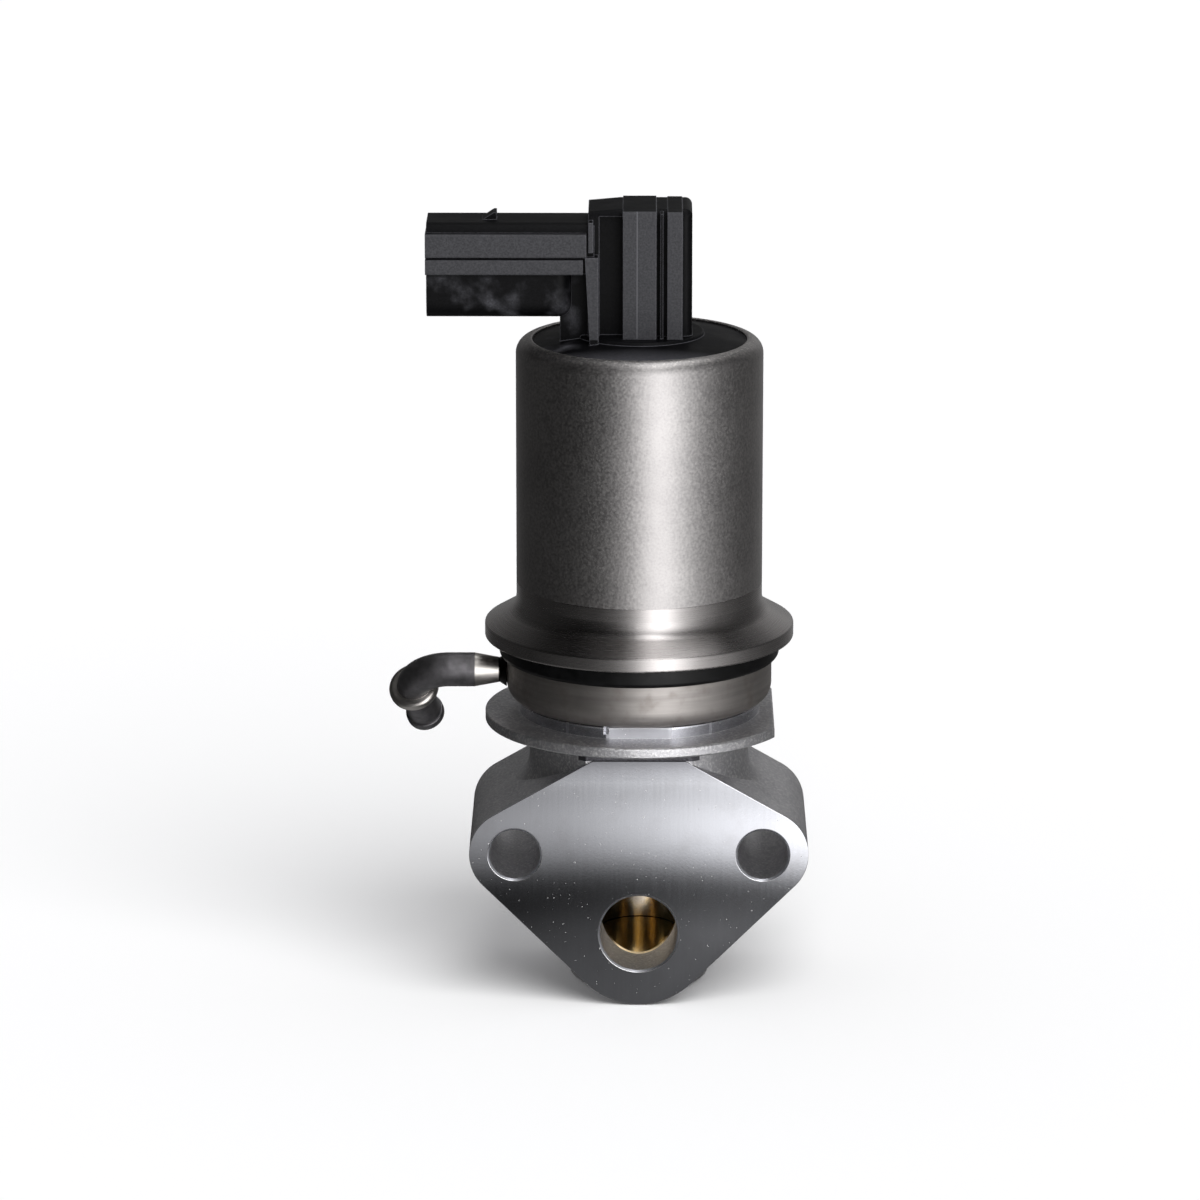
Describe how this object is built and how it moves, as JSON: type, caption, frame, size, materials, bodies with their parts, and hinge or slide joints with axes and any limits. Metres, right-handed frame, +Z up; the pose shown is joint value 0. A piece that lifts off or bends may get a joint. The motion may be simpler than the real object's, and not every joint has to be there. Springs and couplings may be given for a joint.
{
  "type": "egr valve",
  "caption": "Electric exhaust gas recirculation valve: cast flanged housing, lifting poppet, solenoid can, side vent tube and top position sensor with a side plug socket.",
  "frame": {"origin": "middle of the two bolt holes, on the machined mating face", "axes": "+Z up along the valve, from the housing to the sensor tower; -Y out of the mating face; +X away from the plug socket"},
  "size_m": [0.075, 0.055, 0.1419],
  "materials": {
    "cast_aluminium": "die-cast, machined on the mating face",
    "bronze": "turned, heat-stained",
    "tool_steel": "ground",
    "stainless": "drawn",
    "tube_steel": "dark satin",
    "turned_steel": "turned",
    "can_steel": "satin",
    "zinc_steel": "zinc plated",
    "spring_steel": "bright wire",
    "black_rubber": "matt",
    "copper_wire": "enamelled",
    "bobbin_plastic": "moulded",
    "cover_plastic": "glass-filled, moulded",
    "ceramic": "fired",
    "pin_metal": "tin plated"
  },
  "bodies": {
    "valve_body": {"valve_housing": "cast_aluminium", "seat_sleeve": "bronze", "bore_plug": "bronze", "stem_guide": "bronze", "collar_bush": "bronze", "valve_seat": "tool_steel", "lower_cup": "stainless", "stem_shield": "stainless", "armature_sleeve": "stainless", "vent_tube": "tube_steel", "mounting_collar": "turned_steel", "lower_pole": "turned_steel", "upper_pole": "turned_steel", "solenoid_can": "can_steel", "cup_screws": "zinc_steel", "disc_spring": "zinc_steel", "return_spring": "spring_steel", "sensor_spring": "spring_steel", "cup_gasket": "black_rubber", "cover_seal": "black_rubber", "coil_winding": "copper_wire", "coil_bobbin": "bobbin_plastic", "sensor_retainer": "bobbin_plastic", "connector_cover": "cover_plastic", "sensor_track": "ceramic", "terminal_pins": "pin_metal"},
    "pintle": {"valve_head": "tool_steel", "valve_stem": "tool_steel", "armature": "turned_steel", "armature_clip": "zinc_steel"},
    "sensor_plunger": {"sensor_slider": "bobbin_plastic", "sensor_wipers": "bronze"}
  },
  "joints": [
    {"name": "pintle_lift", "type": "slide", "parent": "valve_body", "child": "pintle", "axis": [0, 0, 1], "range_m": [0, 0.004], "stiffness_N_per_m": 1500, "springref_m": -0.006, "deforming": ["return_spring"]},
    {"name": "sensor_follow", "type": "slide", "parent": "valve_body", "child": "sensor_plunger", "axis": [0, 0, 1], "range_m": [0, 0.004], "stiffness_N_per_m": 100, "springref_m": -0.01, "deforming": ["sensor_spring"]}
  ],
  "couplings": [
    {"joint": "sensor_follow", "follows": "pintle_lift", "ratio": 1}
  ]
}
